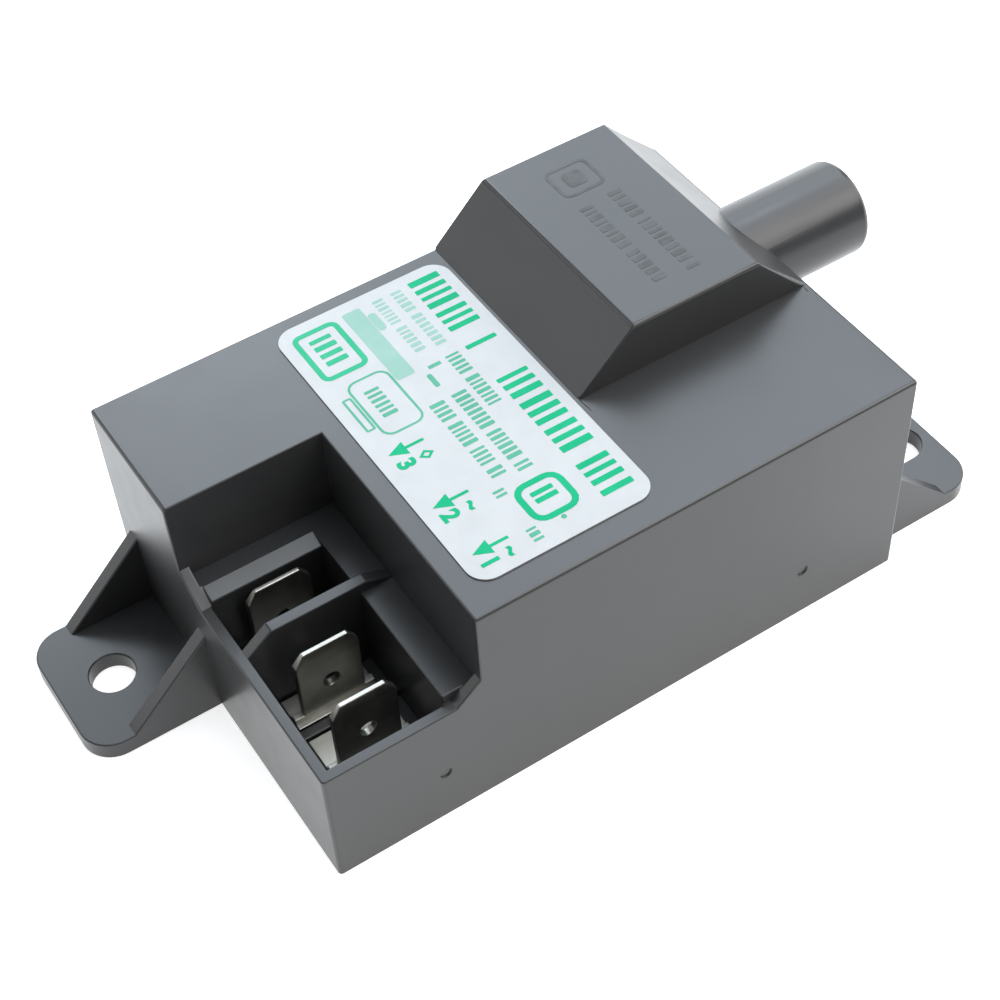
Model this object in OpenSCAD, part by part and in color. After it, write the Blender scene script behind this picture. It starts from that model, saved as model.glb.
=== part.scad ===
// Potted electronic ignition transformer.
// Frame: X runs from the terminal recess (-X) to the high-voltage socket (+X), Y from the long side
// with the open recess corner (-Y) to the side under the raised block (+Y), Z up.
// The origin is the centre of the body's footprint, on the mounting plane.

/* [Body] */
// Length of the moulded body, without ears and socket
body_l = 62; // [60:0.5:70]
// Width of the moulded body
body_w = 39.8; // [39:0.2:46]
// Height of the body's deck above the mounting plane
body_h = 25; // [24.5:0.5:30]
// Thickness of the side walls
wall = 1.5; // [1.2:0.1:2]
// Thickness of the deck and of the raised block's roof
roof = 1.8; // [1.4:0.1:2.4]
// Rounding of the outer edges
edge_r = 0.4; // [0.3:0.1:0.9]
// Diameter of the two ejector marks on the front
mark_d = 1.1; // [0.6:0.1:2]
// Distance of each ejector mark from the middle of the front
mark_x = 19.6; // [12:0.2:24]
// Height of the ejector marks
mark_z = 6.4; // [3:0.2:12]
// Depth of the ejector marks
mark_depth = 0.3; // [0.1:0.05:0.5]

/* [Raised coil block] */
// Length of the block's foot along the body
block_l = 25.2; // [24:0.2:28]
// Width of the block, measured from the body's far side
block_w = 24.4; // [22:0.2:28]
// Height of the block above the deck
block_h = 5.8; // [5:0.2:8]
// Run of the slope that faces the terminals
block_slope_l = 6; // [4:0.2:7]
// Run of the slope that faces the socket
block_slope_r = 5.6; // [4:0.2:6.4]
// Strip of deck left between the block's foot and the body's end
block_gap = 0.6; // [0.4:0.1:1.5]

/* [Terminal recess] */
// Length of the recess along the body
recess_l = 15.6; // [15:0.2:17]
// Width of the recess, measured from the front
recess_w = 25.2; // [24.8:0.2:27]
// Thickness of the lowered walls round the chamber
recess_wall = 1.1; // [0.8:0.1:1.4]
// Height of the lowered walls
recess_wall_h = 14.6; // [13:0.2:15]
// Height at which the sloped feet of the notch begin
notch_foot_h = 16.7; // [15.8:0.1:18]
// Run of the sloped foot on the front
notch_run_x = 2.5; // [1:0.1:3.2]
// Run of the sloped foot on the end wall
notch_run_y = 3.5; // [1:0.1:4.5]
// Height of the ledges beside the chamber
ledge_z = 15.6; // [15.1:0.1:15.7]
// Width of the ledge towards the label
ledge_x = 3.2; // [2:0.1:3.8]
// Width of the ledge on the far side
ledge_y = 3.5; // [2.5:0.1:3.7]
// Width of the bevel along the far ledge
ledge_bevel_y = 1.1; // [0.5:0.1:1.6]
// Height of the bevel along the far ledge
ledge_bevel_z = 0.5; // [0.2:0.1:0.8]
// Height of the chamber's floor
floor_z = 6.1; // [5.6:0.1:6.8]
// Thickness of the chamber's floor
floor_t = 1.5; // [1.2:0.1:1.8]
// Distance of the partition's middle from the front
rib_y = 15.3; // [15:0.1:15.7]
// Thickness of the partition
rib_t = 1.2; // [0.8:0.1:1.4]
// Run of the slopes at both ends of the partition
rib_run = 2.5; // [1:0.1:3]
// Distance of the low divider's near face from the front
divider_y = 9.6; // [9:0.1:9.8]
// Thickness of the low divider
divider_t = 1.1; // [0.6:0.1:1.2]
// Height of the low divider above the floor
divider_h = 0.9; // [0.4:0.1:1.6]

/* [Terminals] */
// Width of a push-on tab
tab_w = 6.3; // [4.8:0.1:6.6]
// Thickness of a push-on tab
tab_t = 0.8; // [0.5:0.1:1]
// Thickness of a tab's tapered tip
tab_tip_t = 0.45; // [0.3:0.05:0.45]
// Height of the tab tips above the mounting plane
tab_top_z = 15.5; // [14.5:0.1:17]
// Width of the bevel at each corner of the tip
tab_bevel_x = 0.9; // [0.5:0.1:1.4]
// Height of the bevel at each corner of the tip
tab_bevel_z = 1.3; // [0.6:0.1:1.8]
// Diameter of the detent hole in a tab
tab_hole_d = 1.6; // [1:0.1:2]
// Distance of the detent hole from the tip
tab_hole_drop = 4.8; // [3.4:0.1:5.4]
// Distance of the tabs' middle from the terminal end of the body
tab_x = 7.05; // [6.8:0.05:7.3]
// Distance of tab 1 from the front
tab_1_y = 5.5; // [5.2:0.1:5.7]
// Distance of tab 2 from the front
tab_2_y = 11.9; // [11.7:0.1:12]
// Distance of tab 3 from the front
tab_3_y = 20.4; // [20:0.1:20.8]
// Width of a tab's shoulders and foot
foot_w = 8.25; // [7:0.05:8.8]
// Height of the shoulders above the chamber's floor
shoulder_h = 1.4; // [1:0.1:2]
// Reach of an outer tab's foot on the side of the wall
foot_toe = 0.6; // [0.3:0.1:0.8]
// Gap between a foot and the partition or divider
foot_gap = 0.2; // [0.1:0.05:0.4]
// Width of the solder leg under a tab
leg_w = 1.5; // [1:0.1:2]
// Clearance of a solder leg in its floor slot
leg_gap = 0.1; // [0.05:0.05:0.2]

/* [High-voltage socket] */
// Outer diameter of the socket tube
socket_d = 9.6; // [9:0.1:10.4]
// Bore of the socket tube
socket_bore_d = 7.2; // [6.4:0.1:7.6]
// Reach of the tube beyond the end of the body
socket_out = 11.7; // [8:0.1:12.5]
// Depth of the socket's bottom below the end of the body
socket_in = 1.5; // [1.2:0.1:2]
// Thickness of the socket's bottom
socket_bottom = 1.5; // [1:0.1:1.8]
// Sideways place of the socket from the body's middle
socket_y = 5; // [3:0.2:8]
// Distance of the socket's axis below the deck
socket_drop = 3.1; // [2.4:0.1:4]
// Rounding of the tube's outer lip
lip_r = 0.8; // [0.4:0.1:1.1]
// Diameter of the contact pin
pin_d = 4; // [3:0.1:4.4]
// Free length of the contact pin inside the bore
pin_l = 6; // [4:0.2:7]
// Bevel of the pin's tip
pin_bevel = 0.6; // [0.3:0.1:1]
// Diameter of the groove turned at the pin's root
groove_d = 3.2; // [2.4:0.1:3.6]
// Width of the groove
groove_w = 0.5; // [0.3:0.1:1]
// Diameter of the pin's collar
collar_d = 6; // [5:0.1:7]
// Thickness of the pin's collar
collar_t = 0.8; // [0.5:0.1:1]
// Diameter of the pin's solder tail
tail_d = 2; // [1.4:0.1:2.4]
// Length of the pin's solder tail
tail_l = 1.2; // [0.8:0.1:1.4]

/* [Mounting ears] */
// Reach of an ear beyond the end of the body
ear_l = 12.8; // [12.4:0.2:16]
// Width of an ear
ear_w = 15.4; // [12:0.2:18]
// Thickness of an ear's plate
ear_t = 2; // [1.6:0.1:3]
// Sideways place of an ear's middle from the body's middle
ear_y = 10; // [9:0.2:11]
// Rounding of an ear's corners
ear_r = 3.2; // [1:0.2:5]
// Distance of the fixing hole and slot from the end of the body
hole_x = 7.3; // [6.9:0.1:7.6]
// Diameter of the fixing hole and width of the slot
hole_d = 4.4; // [4.2:0.1:4.8]
// Length of the fixing slot from end to end
slot_l = 8.6; // [7:0.2:9]
// Height of the side webs at the body
web_h = 10.4; // [6:0.2:14]
// Length of the side webs along the plate
web_l = 8.6; // [6:0.2:11]
// Thickness of the side webs
web_t = 1.5; // [1:0.1:2.2]

/* [Label] */
// Length of the label across the body
label_l = 35.4; // [20:0.2:36]
// Width of the label along the body
label_w = 18.2; // [12:0.2:19]
// Thickness of the label
label_t = 0.15; // [0.1:0.01:0.2]
// Rounding of the label's corners
label_r = 2; // [0.5:0.1:3]
// Gap between the label and the raised block
label_gap = 0.4; // [0.2:0.1:0.8]
// Sideways place of the label's middle
label_y = 0.5; // [0:0.1:1]

/* [Potting and circuit board] */
// Depth of the compound's surface below the rim
fill_gap = 0.8; // [0.4:0.1:1]
// Height of the circuit board's underside
board_z = 2; // [1.8:0.1:2.2]
// Thickness of the circuit board
board_t = 1.6; // [1:0.1:1.6]
// Clearance between the circuit board and the walls
board_gap = 0.4; // [0.2:0.1:0.8]
// Diameter of the component leads
lead_d = 0.8; // [0.6:0.1:1]
// Clearance of a lead in its board hole
lead_gap = 0.1; // [0.05:0.05:0.2]
// Length of a lead below the circuit board
lead_tail = 0.8; // [0.5:0.1:0.9]
// Diameter of a solder joint at the board
solder_d = 2; // [1.6:0.1:2.4]
// Diameter of a solder joint round a tab's leg
leg_solder_d = 3.4; // [2.9:0.1:4]
// Height of a solder joint
solder_h = 0.6; // [0.3:0.1:0.7]
// Share of its diameter that a solder joint keeps at the tip
solder_taper = 0.6; // [0.55:0.01:0.8]

/* [Components] */
// Length of the discharge capacitor
cap_l = 26; // [20:0.5:28]
// Width of the discharge capacitor
cap_w = 9; // [7:0.5:9.5]
// Height of the discharge capacitor
cap_h = 17; // [12:0.5:18]
// Length of the suppression capacitor
xcap_l = 13; // [10:0.5:15]
// Width of the suppression capacitor
xcap_w = 5; // [4:0.5:6]
// Height of the suppression capacitor
xcap_h = 11; // [9:0.5:14]
// Length of the charging resistor's body
resistor_l = 13; // [9:0.5:13.5]
// Diameter of the charging resistor's body
resistor_d = 5; // [3:0.1:5.2]
// Diameter of the varistor's disc
varistor_d = 8; // [6:0.5:8.5]
// Thickness of the varistor's disc
varistor_t = 4; // [3:0.1:4.4]
// Length of a small diode's body
diode_l = 5.2; // [4:0.1:6]
// Diameter of a small diode's body
diode_d = 2.7; // [2:0.1:3.2]
// Length of the gate resistor's body
gate_l = 6.4; // [4:0.1:7]
// Diameter of the gate resistor's body
gate_d = 2.4; // [1.8:0.1:3]
// Width of the thyristor's body
thyristor_w = 10; // [8:0.2:10.4]
// Thickness of the thyristor's body
thyristor_t = 4.4; // [3:0.1:4.8]
// Height of the thyristor's body
thyristor_h = 9; // [7:0.2:10]
// Height of the thyristor's body above the circuit board
thyristor_lift = 2; // [1:0.2:3]
// Diameter of the thyristor's fixing hole
thyristor_hole_d = 3; // [2:0.1:3.6]
// Run of a wire between a round body and its bend
wire_reach = 1.2; // [0.8:0.1:1.5]
// Pitch of the thyristor's leads
thyristor_pitch = 2.5; // [2:0.1:2.8]
// Pitch of the varistor's leads
varistor_pitch = 5; // [3.5:0.1:5]
// Distance of a capacitor's leads from the ends of its body
cap_lead_inset = 1.8; // [1:0.1:3]
// Rounding of the capacitors' upright edges
cap_r = 0.6; // [0.3:0.1:1.5]
// Gap kept between neighbouring pieces on the circuit board
part_gap = 1; // [0.8:0.1:1.2]

/* [Ignition coil] */
// Diameter of the ferrite core
core_d = 8; // [6:0.1:8.2]
// Reach of the core beyond the primary former
core_out = 1; // [0.5:0.1:1.4]
// Wall of the primary former
former_t = 0.7; // [0.5:0.1:0.9]
// Clearance between the coil's sliding pieces
coil_gap = 0.1; // [0.05:0.05:0.2]
// Reach of the primary former in front of the secondary bobbin
former_out = 3; // [2.4:0.1:4]
// Thickness of the primary winding
primary_t = 0.6; // [0.3:0.05:0.7]
// Diameter of the secondary bobbin's flanges
bobbin_d = 18.4; // [17:0.1:18.6]
// Length of the secondary bobbin
bobbin_l = 18.4; // [16:0.2:18.6]
// Wall of the secondary bobbin's tube
bobbin_t = 0.8; // [0.6:0.1:1]
// Thickness of the bobbin's end flanges
flange_t = 1.4; // [1:0.1:1.6]
// Thickness of the bobbin's inner fins
fin_t = 0.8; // [0.5:0.1:1]
// Number of winding chambers
chambers = 5; // [3:1:6]
// Distance from the bobbin's rim down to the winding
winding_drop = 0.8; // [0.4:0.1:1.5]
// Width of the bobbin's feet on the circuit board
bobbin_foot_w = 10; // [6:0.5:12]
// Distance of the coil's axis from the socket end of the body
coil_x = 14.5; // [14.2:0.1:14.8]
// Distance of the coil's axis below the raised block's top
coil_drop = 13.8; // [13.6:0.1:14.8]
// Gap between the coil and the far wall
coil_back = 2; // [1.6:0.1:2.4]
// Diameter of the high-voltage lead
hv_lead_d = 1.2; // [0.8:0.1:1.2]
// Distance from the coil's axis to the end of the high-voltage lead on the bobbin
hv_lead_in = 5.5; // [4.6:0.1:7]
// Distance of the coil's return lead from the rim of the bobbin
return_inset = 1.6; // [1:0.1:2]

/* [Hidden] */
$fn = 48;

// Extra depth that lets a cut run clear of a face
eps = 0.1;
// The body's ends and sides
end_x = body_l / 2;
side_y = body_w / 2;
// Top of the raised block
block_top = body_h + block_h;
// Foot and top corners of the block along X
block_x1 = end_x - block_gap;
block_x0 = block_x1 - block_l;
block_y0 = side_y - block_w;
// Inner limits of the recess
recess_x1 = -end_x + recess_l;
recess_y1 = -side_y + recess_w;
chamber_x0 = -end_x + recess_wall;
chamber_x1 = recess_x1 - ledge_x;
chamber_y0 = -side_y + recess_wall;
chamber_y1 = recess_y1 - ledge_y;
rib_y0 = -side_y + rib_y - rib_t / 2;
divider_y0 = -side_y + divider_y;
// Places of the tabs along Y: [middle of the blade, near end of the foot, far end of the foot]
tab_mid_x = -end_x + tab_x;
tab_1 = [tab_1_y - side_y, tab_1_y - side_y - tab_t / 2 - foot_toe, divider_y0 - foot_gap];
tab_2 = [tab_2_y - side_y, divider_y0 + divider_t + foot_gap, rib_y0 - foot_gap];
tab_3 = [tab_3_y - side_y, rib_y0 + rib_t + foot_gap, tab_3_y - side_y + tab_t / 2 + foot_toe];
// Socket
socket_z = body_h - socket_drop;
socket_mouth_x = end_x + socket_out;
socket_floor_x = end_x - socket_in;
socket_back_x = socket_floor_x - socket_bottom;
pin_back_x = socket_back_x - collar_t - tail_l;
// Board
board_top = board_z + board_t;
board_x0 = -end_x + wall + board_gap;
board_x1 = end_x - wall - board_gap;
board_y1 = side_y - wall - board_gap;
// Coil: the axis runs along Y
coil_mid_x = end_x - coil_x;
coil_z = block_top - coil_drop;
bobbin_y1 = side_y - wall - coil_back;
bobbin_y0 = bobbin_y1 - bobbin_l;
former_y0 = bobbin_y0 - former_out;
former_d = core_d + 2 * coil_gap + 2 * former_t;
primary_d = former_d + 2 * primary_t;
bobbin_bore = primary_d + 2 * coil_gap;
bobbin_tube_d = bobbin_bore + 2 * bobbin_t;
winding_d = bobbin_d - 2 * winding_drop;
chamber_pitch = (bobbin_l - 2 * flange_t + fin_t) / chambers;
hv_lead_x = pin_back_x - hv_lead_d / 2;
hv_lead_y = bobbin_y1 + hv_lead_d / 2;
// Places of the components on the board
inner_x0 = recess_x1 + wall;
front_y = -side_y + wall + part_gap;
far_y = side_y - wall - part_gap;
cap_x = inner_x0 + part_gap + cap_w / 2;
cap_y = far_y - cap_l / 2;
xcap_x = cap_x + cap_w / 2 + part_gap + xcap_w / 2;
xcap_y = far_y - xcap_l / 2;
varistor_x = inner_x0 + part_gap + varistor_d / 2;
varistor_y = front_y + varistor_t / 2;
resistor_x = xcap_x;
resistor_y = front_y + wire_reach + resistor_l / 2;
diode_y = front_y + diode_d / 2;
rectifier_x = resistor_x + resistor_d / 2 + part_gap + wire_reach + diode_l / 2;
trigger_x = rectifier_x + diode_l + 2 * (wire_reach + part_gap);
gate_x = rectifier_x + (gate_l - diode_l) / 2;
gate_y = diode_y + (diode_d + gate_d) / 2 + part_gap;
thyristor_x = end_x - wall - part_gap - thyristor_w / 2;
thyristor_y = diode_y + (diode_d + thyristor_t) / 2 + part_gap;
// Places where leads pass through the board
cap_leads = [for (s = [-1, 1]) [cap_x, cap_y + s * (cap_l / 2 - cap_lead_inset)]];
xcap_leads = [for (s = [-1, 1]) [xcap_x, xcap_y + s * (xcap_l / 2 - cap_lead_inset)]];
varistor_leads = [for (s = [-1, 1]) [varistor_x + s * varistor_pitch / 2, varistor_y]];
resistor_leads = [for (s = [-1, 1]) [resistor_x, resistor_y + s * (resistor_l / 2 + wire_reach)]];
rectifier_leads = [for (s = [-1, 1]) [rectifier_x + s * (diode_l / 2 + wire_reach), diode_y]];
trigger_leads = [for (s = [-1, 1]) [trigger_x + s * (diode_l / 2 + wire_reach), diode_y]];
gate_leads = [for (s = [-1, 1]) [gate_x + s * (gate_l / 2 + wire_reach), gate_y]];
thyristor_leads = [for (s = [-1, 0, 1]) [thyristor_x + s * thyristor_pitch, thyristor_y]];
primary_points = [for (s = [-1, 1])
    [coil_mid_x + s * (primary_d + lead_d) / 2, former_y0 + former_t + lead_d]];
return_point = [coil_mid_x - bobbin_d / 2 + return_inset, bobbin_y0 - lead_d / 2];
all_leads = concat(cap_leads, xcap_leads, varistor_leads, resistor_leads, rectifier_leads,
                   trigger_leads, gate_leads, thyristor_leads, primary_points, [return_point]);

// Front edge of a winding chamber, counted from the front flange
function chamber_y(i) = bobbin_y0 + flange_t + i * chamber_pitch;

// Inside corner point: the point at distance d from both edges that meet at b
function inner_corner(a, b, c, d) =
    let (u = (a - b) / norm(a - b), v = (c - b) / norm(c - b))
    b + (u + v) / norm(u + v) * d / sin(acos(u * v) / 2);

// Convex outline moved inwards by d
function inset(points, d) =
    let (n = len(points))
    [for (i = [0 : n - 1]) inner_corner(points[(i + n - 1) % n], points[i], points[(i + 1) % n], d)];

// Convex outline with rounded corners: each radius belongs to the point with the same index
module rounded_outline(points, radii) {
    n = len(points);
    ends = [for (i = [0 : n - 1])
        let (a = points[(i + n - 1) % n], b = points[i], c = points[(i + 1) % n],
             u = (a - b) / norm(a - b), v = (c - b) / norm(c - b),
             reach = radii[i] / tan(acos(u * v) / 2))
        each radii[i] > 0 ? [b + u * reach, b + v * reach] : [b]];
    polygon(ends);
    for (i = [0 : n - 1])
        if (radii[i] > 0)
            translate(inner_corner(points[(i + n - 1) % n], points[i], points[(i + 1) % n], radii[i]))
                circle(r = radii[i]);
}

// Rectangle between two corners, with one radius at every corner
module rounded_rect(low, high, r) {
    rounded_outline([low, [high[0], low[1]], high, [low[0], high[1]]], [r, r, r, r]);
}

// Solid along Y whose section is drawn in X and Z
module along_y(y0, y1) {
    translate([0, y1, 0]) rotate([90, 0, 0]) linear_extrude(height = y1 - y0) children();
}

// Solid along X whose section is drawn in Y and Z
module along_x(x0, x1) {
    translate([x0, 0, 0]) rotate([90, 0, 90]) linear_extrude(height = x1 - x0) children();
}

// Box between two corners
module block(low, high) {
    translate(low) cube(high - low);
}

// Round bar along Y
module bar_y(y0, y1, d) {
    translate([0, y1, 0]) rotate([90, 0, 0]) cylinder(h = y1 - y0, d = d);
}

// Round bar along X
module bar_x(x0, x1, d) {
    translate([x0, 0, 0]) rotate([0, 90, 0]) cylinder(h = x1 - x0, d = d);
}

// Body block with rounded upright and top edges
module body_block() {
    intersection() {
        linear_extrude(height = body_h)
            rounded_rect([-end_x, -side_y], [end_x, side_y], edge_r);
        along_y(-side_y, side_y)
            rounded_outline([[-end_x, 0], [end_x, 0], [end_x, body_h], [-end_x, body_h]],
                            [0, 0, edge_r, edge_r]);
        along_x(-end_x, end_x)
            rounded_outline([[-side_y, 0], [side_y, 0], [side_y, body_h], [-side_y, body_h]],
                            [0, 0, edge_r, edge_r]);
    }
}

// Section of the raised block in X and Z, from the height low upwards
function block_section(low) = [[block_x0, low], [block_x1, low], [block_x1, body_h],
    [block_x1 - block_slope_r, block_top], [block_x0 + block_slope_l, block_top], [block_x0, body_h]];

// Raised block over the ignition coil, with two sloped ends
module coil_block() {
    low = body_h - roof;
    intersection() {
        along_y(block_y0, side_y) rounded_outline(block_section(low), [0, 0, 0, edge_r, edge_r, 0]);
        along_x(block_x0, block_x1)
            rounded_outline([[block_y0, low], [side_y, low], [side_y, block_top], [block_y0, block_top]],
                            [0, 0, edge_r, edge_r]);
        linear_extrude(height = block_top)
            rounded_rect([block_x0, block_y0], [block_x1, side_y], edge_r);
    }
}

// Room for the coil inside the raised block, one roof's thickness inside its faces
module coil_room() {
    along_y(block_y0 + wall, side_y - wall) polygon(inset(block_section(body_h - 2 * roof - eps), roof));
}

// Walls and floor of the terminal recess as one stepped solid
module recess_tub() {
    block([-end_x, -side_y, floor_z - floor_t], [chamber_x1 + wall, chamber_y1 + wall, body_h]);
    block([-end_x, -side_y, ledge_z - roof], [recess_x1 + wall, recess_y1 + wall, body_h]);
}

// Solid round the high-voltage socket, with a rounded lip
module socket_tube() {
    length = socket_mouth_x - socket_back_x;
    translate([socket_back_x, socket_y, socket_z]) rotate([0, 90, 0]) rotate_extrude()
        rounded_outline([[0, 0], [socket_d / 2, 0], [socket_d / 2, length], [0, length]],
                        [0, 0, lip_r, 0]);
}

// Hollow inside of the body, from the given height upwards
module cavity(low) {
    difference() {
        union() {
            block([-end_x + wall, -side_y + wall, low], [end_x - wall, side_y - wall, body_h - roof]);
            coil_room();
        }
        recess_tub();
        socket_tube();
    }
}

// Open space of the terminal recess: the chamber, the room above its ledges and the cut-down walls
module recess() {
    top = body_h + eps;
    block([chamber_x0, chamber_y0, floor_z], [chamber_x1, chamber_y1, top]);
    block([chamber_x0, chamber_y0, ledge_z], [recess_x1, recess_y1, top]);
    along_x(chamber_x0, chamber_x1)
        polygon([[chamber_y1 - eps, ledge_z - ledge_bevel_z], [chamber_y1, ledge_z - ledge_bevel_z],
                 [chamber_y1 + ledge_bevel_y, ledge_z], [chamber_y1 - eps, ledge_z]]);
    along_y(-side_y - eps, chamber_y0 + eps)
        polygon([[-end_x - eps, recess_wall_h], [recess_x1 - notch_run_x, recess_wall_h],
                 [recess_x1, notch_foot_h], [recess_x1, top], [-end_x - eps, top]]);
    along_x(-end_x - eps, chamber_x0 + eps)
        polygon([[-side_y - eps, recess_wall_h], [recess_y1 - notch_run_y, recess_wall_h],
                 [recess_y1, notch_foot_h], [recess_y1, top], [-side_y - eps, top]]);
}

// Partition between tabs 2 and 3, with sloped ends
module partition() {
    along_y(rib_y0, rib_y0 + rib_t)
        polygon([[chamber_x0 - eps, floor_z - eps], [chamber_x1 + eps, floor_z - eps],
                 [chamber_x1 + eps, ledge_z - eps], [recess_x1 + eps, ledge_z - eps],
                 [recess_x1 + eps, ledge_z],
                 [recess_x1 - rib_run, notch_foot_h], [chamber_x0 + rib_run, notch_foot_h],
                 [chamber_x0 - eps, recess_wall_h]]);
}

// Low divider across the chamber's floor between tabs 1 and 2
module divider() {
    block([chamber_x0 - eps, divider_y0, floor_z - eps],
          [chamber_x1 + eps, divider_y0 + divider_t, floor_z + divider_h]);
}

// Fixing ear at the terminal end: a plate with rounded corners between two sloping webs
module ear() {
    y0 = ear_y - ear_w / 2;
    y1 = ear_y + ear_w / 2;
    linear_extrude(height = ear_t)
        rounded_outline([[-end_x - ear_l, y0], [-end_x + eps, y0], [-end_x + eps, y1], [-end_x - ear_l, y1]],
                        [ear_r, 0, 0, ear_r]);
    for (y = [y0, y1 - web_t])
        along_y(y, y + web_t)
            polygon([[-end_x - web_l, 0], [-end_x + eps, 0], [-end_x + eps, web_h],
                     [-end_x, web_h], [-end_x - web_l, ear_t]]);
}

// Upright hole of any length, rounded at both ends
module slot(length, width, height) {
    for (x = [-1, 1] * (length - width) / 2) translate([x, 0, 0]) cylinder(h = height, d = width);
    block([-(length - width) / 2, -width / 2, 0], [(length - width) / 2, width / 2, height]);
}

// Cuts through both ears: a round hole at the terminal end and a slot at the socket end
module ear_holes() {
    translate([-end_x - hole_x, ear_y, -eps]) cylinder(h = ear_t + 2 * eps, d = hole_d);
    translate([end_x + hole_x, -ear_y, -eps]) slot(slot_l, hole_d, ear_t + 2 * eps);
}

// Upright bars where the tabs' solder legs go, wider by a clearance on each side
module leg_bars(z0, z1, clearance) {
    for (tab = [tab_1, tab_2, tab_3])
        block([tab_mid_x - leg_w / 2 - clearance, tab[0] - tab_t / 2 - clearance, z0],
              [tab_mid_x + leg_w / 2 + clearance, tab[0] + tab_t / 2 + clearance, z1]);
}

module housing() {
    color("#3a3b3d") {
        difference() {
            union() {
                body_block();
                coil_block();
                socket_tube();
                ear();
                rotate([0, 0, 180]) ear();
            }
            cavity(-eps);
            recess();
            translate([0, socket_y, socket_z]) {
                bar_x(socket_floor_x, socket_mouth_x + eps, socket_bore_d);
                bar_x(socket_back_x - eps, socket_floor_x + eps, pin_d);
            }
            ear_holes();
            leg_bars(floor_z - floor_t - eps, floor_z + eps, leg_gap);
            for (x = [-mark_x, mark_x])
                translate([x, 0, mark_z]) bar_y(-side_y - eps, -side_y + mark_depth, mark_d);
        }
        partition();
        divider();
    }
}

module label() {
    x1 = block_x0 - label_gap;
    color("#e8ecf0")
        translate([0, 0, body_h]) linear_extrude(height = label_t)
            rounded_rect([x1 - label_w, label_y - label_l / 2], [x1, label_y + label_l / 2], label_r);
}

// Push-on tab with a bevelled tip and detent hole, shoulders, a foot and a solder leg
module terminal(tab) {
    y0 = tab[0] - tab_t / 2;
    y1 = tab[0] + tab_t / 2;
    x0 = tab_mid_x - tab_w / 2;
    x1 = tab_mid_x + tab_w / 2;
    bevel_z = tab_top_z - tab_bevel_z;
    color("#c9c9c4") {
        difference() {
            intersection() {
                along_y(y0 - eps, y1 + eps)
                    polygon([[x0, floor_z], [x1, floor_z], [x1, bevel_z], [x1 - tab_bevel_x, tab_top_z],
                             [x0 + tab_bevel_x, tab_top_z], [x0, bevel_z]]);
                along_x(x0 - eps, x1 + eps)
                    polygon([[y0, floor_z - eps], [y1, floor_z - eps], [y1, bevel_z],
                             [tab[0] + tab_tip_t / 2, tab_top_z], [tab[0] - tab_tip_t / 2, tab_top_z],
                             [y0, bevel_z]]);
            }
            translate([tab_mid_x, 0, tab_top_z - tab_hole_drop]) bar_y(y0 - eps, y1 + eps, tab_hole_d);
        }
        block([tab_mid_x - foot_w / 2, y0, floor_z], [tab_mid_x + foot_w / 2, y1, floor_z + shoulder_h]);
        block([tab_mid_x - foot_w / 2, tab[1], floor_z], [tab_mid_x + foot_w / 2, tab[2], floor_z + tab_t]);
        block([tab_mid_x - leg_w / 2, y0, board_z - lead_tail], [tab_mid_x + leg_w / 2, y1, floor_z + eps]);
    }
}

// Turned pin with a collar behind the socket's bottom, a groove at its root and a solder tail
module hv_contact_pin() {
    length = socket_floor_x + pin_l - pin_back_x;
    collar_end = tail_l + collar_t;
    root = socket_floor_x - pin_back_x;
    color("#c8a860") translate([pin_back_x, socket_y, socket_z]) rotate([0, 90, 0]) rotate_extrude()
        polygon([[0, 0], [tail_d / 2, 0], [tail_d / 2, tail_l], [collar_d / 2, tail_l],
                 [collar_d / 2, collar_end], [pin_d / 2, collar_end], [pin_d / 2, root],
                 [groove_d / 2, root], [groove_d / 2, root + groove_w], [pin_d / 2, root + groove_w],
                 [pin_d / 2, length - pin_bevel], [pin_d / 2 - pin_bevel, length], [0, length]]);
}

// Straight leads of a component, down through the board from the given height
module leads(points, top) {
    for (p = points) translate([p[0], p[1], board_z - lead_tail])
        cylinder(h = top - board_z + lead_tail, d = lead_d);
}

// Round body lying on the board along X, with two wires bent down through it
module axial_x(x, y, length, d) {
    z = board_top + d / 2;
    span = length / 2 + wire_reach;
    translate([0, y, z]) {
        bar_x(x - length / 2, x + length / 2, d);
        bar_x(x - span, x + span, lead_d);
    }
    for (side = [-1, 1]) translate([x + side * span, y, z]) sphere(d = lead_d);
    leads([[x - span, y], [x + span, y]], z);
}

module discharge_capacitor() {
    color("#b5482e") {
        translate([cap_x, cap_y, board_top]) linear_extrude(height = cap_h)
            rounded_rect([-cap_w / 2, -cap_l / 2], [cap_w / 2, cap_l / 2], cap_r);
        leads(cap_leads, board_top + eps);
    }
}

module suppression_capacitor() {
    color("#d8b33c") {
        translate([xcap_x, xcap_y, board_top]) linear_extrude(height = xcap_h)
            rounded_rect([-xcap_w / 2, -xcap_l / 2], [xcap_w / 2, xcap_l / 2], cap_r);
        leads(xcap_leads, board_top + eps);
    }
}

module varistor() {
    color("#2f5fa8") {
        translate([varistor_x, 0, board_top + varistor_d / 2])
            bar_y(varistor_y - varistor_t / 2, varistor_y + varistor_t / 2, varistor_d);
        leads(varistor_leads, board_top + varistor_d / 2);
    }
}

module charging_resistor() {
    color("#7f9a8a")
        translate([resistor_x, resistor_y, 0]) rotate([0, 0, 90]) axial_x(0, 0, resistor_l, resistor_d);
}

module rectifier_diode() {
    color("#26282b") axial_x(rectifier_x, diode_y, diode_l, diode_d);
}

module trigger_diode() {
    color("#31404f") axial_x(trigger_x, diode_y, diode_l, diode_d);
}

module gate_resistor() {
    color("#c9a676") axial_x(gate_x, gate_y, gate_l, gate_d);
}

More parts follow.
